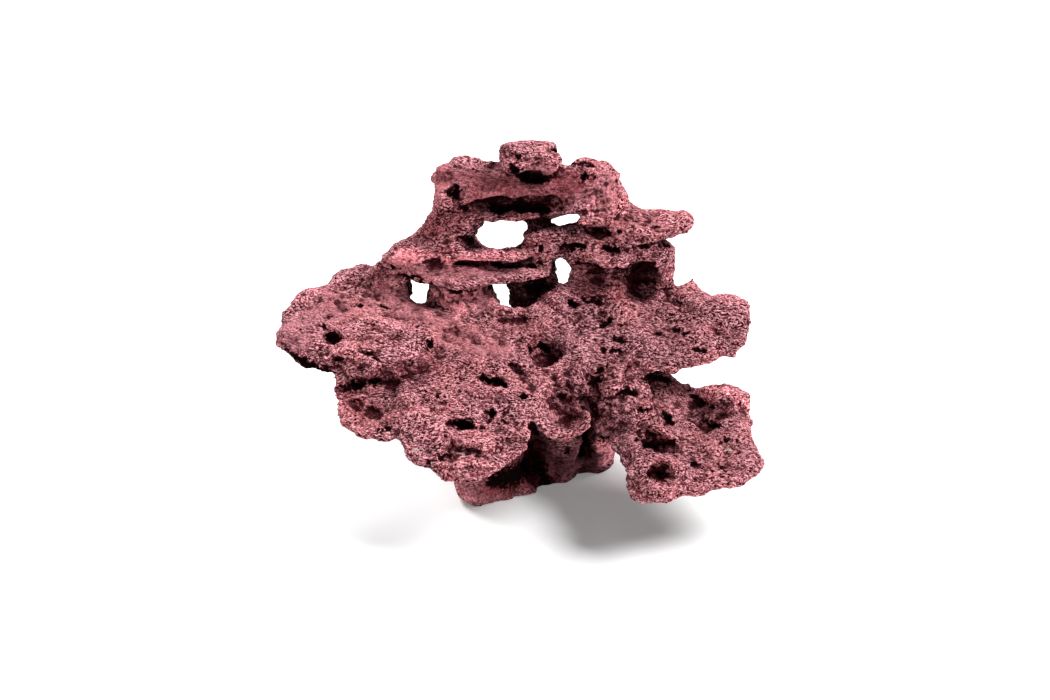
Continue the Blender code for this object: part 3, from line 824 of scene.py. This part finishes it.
def pit_shade(points, cuts, hollows):
    """How deep in shade each point is: highest at the floor of a cut and in the middle of a dark hollow."""
    cut_strength = 1.5
    floor_level = 0.75
    widening = 0.4
    fading = 0.8
    shade = np.zeros(len(points))
    for path, inward, width, depth in cuts:
        floor = path + inward * depth * floor_level
        shade = np.maximum(shade, cut_strength - outline_of(points, floor, width + depth / MM * widening))
    for path, _, width, strength in hollows:
        shade = np.maximum(shade, strength - fading * outline_of(points, path, width))
    return shade


def covered(points, rows, edge, softness=1.0):
    """How far each point lies inside one of the strokes, 0 outside to 1 well inside."""
    inside = np.zeros(len(points))
    for path, _, width in rows:
        inside = np.maximum(inside, ease((edge - outline_of(points, path, width)) / softness))
    return inside


def patch_light_and_shade(points, light_and_shade_patches):
    """How much light or shade the patches paint on the crust: 0.5 where it is plain, 1 where it is palest, 0
    where it is deepest.
    """
    lightness = np.zeros(len(points))
    for path, _, width, share in light_and_shade_patches:
        lightness += share * ease(PATCH_EDGE - outline_of(points, path, width))
    return 0.5 + 0.5 * lightness


def mark(rock, cuts, hollows, grains, light_and_shade_patches, worn):
    """Store for the material how level, creased, hollow, open, pale and worn the surface is, the painted
    shade of its pits and hollows, and the light and shade that the patches paint on it.
    """
    points = read_points(rock.data)
    bent = points + wander(points, 2.0 * MM, 3.4 * MM, 3)
    wide = points + wander(points, 9 * MM, 22 * MM, 4)
    paint(rock, "level", 0.5 + 0.5 * levelness(rock, 10))
    for name, (rounds, full_depth) in (("crease", CREASES), ("hollow", HOLLOWS)):
        paint(rock, name, 0.5 + hollow_depth(rock, rounds) / full_depth)
    paint(rock, "sky", open_sky(rock))
    paint(rock, "pit", pit_shade(bent, cuts, hollows))
    paint(rock, "pale", covered(bent, grains, edge=1.1, softness=0.4))
    paint(rock, "light_and_shade", patch_light_and_shade(wide, light_and_shade_patches))
    paint(rock, "worn", covered(wide, worn, edge=PATCH_EDGE))


class Nodes:
    """Builds a node tree. Each method adds a node; an input is a value, or the socket that feeds it."""

    def __init__(self, tree):
        self.tree = tree
        self.tree.nodes.clear()

    def add(self, kind, inputs=None, **settings):
        node = self.tree.nodes.new(kind)
        for name, value in settings.items():
            setattr(node, name, value)
        for name, value in (inputs or {}).items():
            socket = node.inputs[name]
            if isinstance(value, bpy.types.NodeSocket):
                self.tree.links.new(value, socket)
            else:
                socket.default_value = value
        return node

    def math(self, operation, first, second):
        return self.add("ShaderNodeMath", {0: first, 1: second}, operation=operation).outputs[0]

    def vector(self, operation, inputs):
        return self.add("ShaderNodeVectorMath", inputs, operation=operation).outputs[0]

    def noise(self, place, scale, detail, **more):
        inputs = {"Vector": place, "Scale": scale, "Detail": detail}
        return self.add("ShaderNodeTexNoise", inputs | {name.title(): value for name, value in more.items()})

    def span(self, value, low, high, to_low=0.0, to_high=1.0):
        inputs = {"Value": value, "From Min": low, "From Max": high, "To Min": to_low, "To Max": to_high}
        node = self.add("ShaderNodeMapRange", inputs, interpolation_type="SMOOTHSTEP")
        return node.outputs["Result"]

    def mix(self, share, first, second, blend="MIX"):
        inputs = {"Factor": share, 6: first, 7: second}
        return self.add("ShaderNodeMix", inputs, data_type="RGBA", blend_type=blend).outputs[2]

    def mix_values(self, share, first, second):
        return self.add("ShaderNodeMix", {0: share, 2: first, 3: second}, data_type="FLOAT").outputs[0]

    def attribute(self, name):
        return self.add("ShaderNodeAttribute", attribute_name=name).outputs["Fac"]


def new_group(name, inputs, outputs):
    """A shader node group with named inputs and outputs: the group, its builder and its input sockets."""
    group = bpy.data.node_groups.new(name, "ShaderNodeTree")
    nodes = Nodes(group)
    for label, kind, default in inputs:
        socket = group.interface.new_socket(name=label, in_out="INPUT", socket_type=kind)
        socket.default_value = default
    for label, kind in outputs:
        group.interface.new_socket(name=label, in_out="OUTPUT", socket_type=kind)
    entry = nodes.add("NodeGroupInput")
    return group, nodes, entry.outputs


def reef_grain():
    """A crust of fine grains, some drawn out one way, with dark worm-like gaps that gather in clusters."""
    group, nodes, given = new_group(
        "Reef Grain",
        [
            ("Place", "NodeSocketVector", (0, 0, 0)),
            ("Stretch", "NodeSocketVector", (1, 1, 1)),
            ("Turn", "NodeSocketVector", (0, 0, 0)),
            ("Grains per Metre", "NodeSocketFloat", 600.0),
        ],
        [("Height", "NodeSocketFloat"), ("Gaps", "NodeSocketFloat")],
    )
    bend = nodes.noise(given["Place"], BENDS, 1.0)
    centred = nodes.vector("SUBTRACT", {0: bend.outputs["Color"], 1: (0.5, 0.5, 0.5)})
    scaled = nodes.vector("SCALE", {0: centred, "Scale": BEND_REACH})
    bent = nodes.vector("ADD", {0: given["Place"], 1: scaled})
    turned = nodes.add("ShaderNodeMapping", {
        "Vector": bent, "Rotation": given["Turn"], "Scale": given["Stretch"],
    }).outputs[0]

    round_grain = nodes.noise(given["Place"], given["Grains per Metre"], 1.0, roughness=0.5)
    long_scale = nodes.math("MULTIPLY", given["Grains per Metre"], LONG_SCALE)
    long_grain = nodes.noise(turned, long_scale, 1.0, roughness=0.5, distortion=0.4)
    round_share = nodes.math("MULTIPLY", round_grain.outputs["Fac"], 1 - LONG_SHARE)
    long_share = nodes.math("MULTIPLY", long_grain.outputs["Fac"], LONG_SHARE)
    crust = nodes.math("ADD", round_share, long_share)

    cluster = nodes.noise(turned, CLUSTERS, 2.0)
    gap_edge = nodes.span(cluster.outputs["Fac"], *CLUSTER, *GAP_EDGE)
    gaps = nodes.span(crust, gap_edge, nodes.math("SUBTRACT", gap_edge, GAP_SOFTNESS))
    height = nodes.math("SUBTRACT", crust, nodes.math("MULTIPLY", gaps, GAP_DEPTH))
    nodes.add("NodeGroupOutput", {"Height": height, "Gaps": gaps})
    return group


def crust_grain(nodes, place):
    """The grain's height and its gaps: one pattern on level tops and another on sides."""
    group = reef_grain()

    def pattern(stretch, turn, grains):
        inputs = {
            "Place": place, "Stretch": stretch, "Turn": [math.radians(a) for a in turn],
            "Grains per Metre": grains,
        }
        return nodes.add("ShaderNodeGroup", inputs, node_tree=group).outputs

    side = pattern(*SIDE_GRAIN)
    top = pattern(*TOP_GRAIN)
    on_top = nodes.span(nodes.attribute("level"), *LEVEL_TOP)
    height = nodes.mix_values(on_top, side["Height"], top["Height"])
    gaps = nodes.mix_values(on_top, side["Gaps"], top["Gaps"])
    return height, gaps


def crust_colour(nodes, place, height, gaps, evened, grainy):
    """Salmon and mauve crust with light crests and maroon gaps, with the light and shade painted by the
    patches, a painted highlight on raised places, and painted shade in creases, hollows and sheltered
    places.
    """
    patches = nodes.noise(place, PATCHES, 3.0, roughness=0.55).outputs["Fac"]
    body = nodes.mix(nodes.span(patches, *MAUVE_PATCH), SALMON, MAUVE)
    crests = nodes.math("MULTIPLY", nodes.span(height, *CREST_HEIGHT), grainy)
    worn_crests = nodes.math("MULTIPLY", evened, WORN_CRESTS)
    lit = nodes.mix(nodes.math("ADD", crests, worn_crests), body, CREST)

    # Painted light and shade from the patches: lighter where light is painted on, deeper red where shade is
    # painted on
    light_and_shade = nodes.attribute("light_and_shade")
    lit_share = nodes.span(light_and_shade, *LIT_PATCH)
    painted_lit = nodes.mix(lit_share, lit, PAINTED_LIGHT_GAIN, "MULTIPLY")
    light_and_shade_patched = nodes.mix(nodes.span(light_and_shade, *SHADED_PATCH), painted_lit, PAINTED_SHADE_GAIN, "MULTIPLY")
    hollow = nodes.attribute("hollow")
    # Painted highlight: raised places are made lighter
    highlighted = nodes.mix(nodes.span(hollow, *RAISED), light_and_shade_patched, RAISED_HIGHLIGHT, "MULTIPLY")
    gapped = nodes.mix(nodes.math("MULTIPLY", gaps, grainy), highlighted, MAROON)

    # Painted shade: creases and hollows are darkened towards maroon
    crease = nodes.math("MULTIPLY", nodes.span(nodes.attribute("crease"), *CREASED), CREASE_SHADE)
    creased = nodes.mix(crease, gapped, MAROON)
    sinking = nodes.math("MULTIPLY", nodes.span(hollow, *SUNK), HOLLOW_SHADE)
    sunk = nodes.mix(sinking, creased, MAROON)
    # Painted shade in sheltered places, with less of it where the patches paint light
    shelter_shade_share = nodes.math("SUBTRACT", SHELTER_SHADE, nodes.math("MULTIPLY", lit_share, LIT_PATCH_SHADE_LIFT))
    shelter = nodes.math("MULTIPLY", nodes.span(nodes.attribute("sky"), *SHELTERED), shelter_shade_share)
    shelter_shaded = nodes.mix(shelter, sunk, PAINTED_SHADE_MAROON)
    return nodes.mix(nodes.attribute("pale"), shelter_shaded, PALE)


def pitted(nodes, place, colour):
    """The colour with painted shade in the pits: near-black floors with ragged maroon rims."""
    ragged = nodes.noise(place, RIM_BREAKS, 2.0, roughness=0.6).outputs["Fac"]
    bites = nodes.math("MULTIPLY", nodes.math("SUBTRACT", ragged, 0.5), RIM_BITES)
    pit = nodes.math("ADD", nodes.attribute("pit"), bites)
    rim = nodes.mix(nodes.span(pit, *PIT_RIM), colour, MAROON)
    return nodes.mix(nodes.span(pit, *PIT_FLOOR), rim, BLACK)


def rock_finish():
    """The dry crust: matt, grainy and pitted, with painted light and shade, and evened out where it is worn.
    """
    material = bpy.data.materials.new("reef_crust")
    material.use_nodes = True
    nodes = Nodes(material.node_tree)
    place = nodes.add("ShaderNodeTexCoord").outputs["Object"]
    height, gaps = crust_grain(nodes, place)
    evened = nodes.math("MULTIPLY", nodes.attribute("worn"), WORN_EVENING)
    grainy = nodes.math("SUBTRACT", 1.0, evened)
    colour = pitted(nodes, place, crust_colour(nodes, place, height, gaps, evened, grainy))
    bump = nodes.add("ShaderNodeBump", {"Strength": grainy, "Distance": BUMP_HEIGHT, "Height": height})
    shader = nodes.add("ShaderNodeBsdfPrincipled", {
        "Base Color": colour,
        "Roughness": 0.95,
        "Specular IOR Level": 0.03,
        "Normal": bump.outputs["Normal"],
    })
    nodes.add("ShaderNodeOutputMaterial", {"Surface": shader.outputs["BSDF"]})
    return material


def stage():
    """A plain pale floor under white studio light."""
    bpy.ops.object.select_all(action="DESELECT")
    bpy.ops.mesh.primitive_plane_add(size=FLOOR_WIDTH)
    floor = bpy.context.object
    floor.name = "floor"
    material = bpy.data.materials.new("pale_floor")
    material.use_nodes = True
    tree = material.node_tree
    shader = tree.nodes["Principled BSDF"]
    shader.inputs["Base Color"].default_value = FLOOR_WHITE
    shader.inputs["Roughness"].default_value = 0.9
    shader.inputs["Specular IOR Level"].default_value = 0.1
    shader.inputs["Emission Color"].default_value = (1, 1, 1, 1)
    seen = tree.nodes.new("ShaderNodeLightPath").outputs["Is Camera Ray"]
    glow = tree.nodes.new("ShaderNodeMath")
    glow.operation = "MULTIPLY"
    glow.inputs[1].default_value = FLOOR_GLOW
    tree.links.new(seen, glow.inputs[0])
    tree.links.new(glow.outputs[0], shader.inputs["Emission Strength"])
    floor.data.materials.append(material)

    world = bpy.data.worlds.new("studio")
    world.use_nodes = True
    background = world.node_tree.nodes["Background"]
    background.inputs["Color"].default_value = (1, 1, 1, 1)
    background.inputs["Strength"].default_value = WORLD_STRENGTH
    bpy.context.scene.world = world


def lamp(name, height, bearing, breadth, strength):
    """A broad, even studio light from that direction, in degrees."""
    data = bpy.data.lights.new(name, "SUN")
    data.angle = math.radians(breadth)
    data.energy = strength
    light = link(bpy.data.objects.new(name, data))
    light.rotation_euler = Euler((math.radians(90 - height), 0, math.radians(bearing)))


def camera():
    """The camera at the photograph's viewing angle."""
    data = bpy.data.cameras.new("camera")
    data.lens = LENS
    data.sensor_width = SENSOR
    eye = link(bpy.data.objects.new("camera", data))
    eye.location = EYE
    eye.rotation_euler = FORWARD.to_track_quat("-Z", "Y").to_euler()
    bpy.context.scene.camera = eye


camera()
stage()
for lamp_name, lamp_settings in LAMPS.items():
    lamp(lamp_name, *lamp_settings)
bpy.context.scene.view_settings.view_transform = "Standard"

rock = make_rock()
rock.data.materials.clear()
rock.data.materials.append(rock_finish())
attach(rock, "root")
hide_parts("reef_rock")
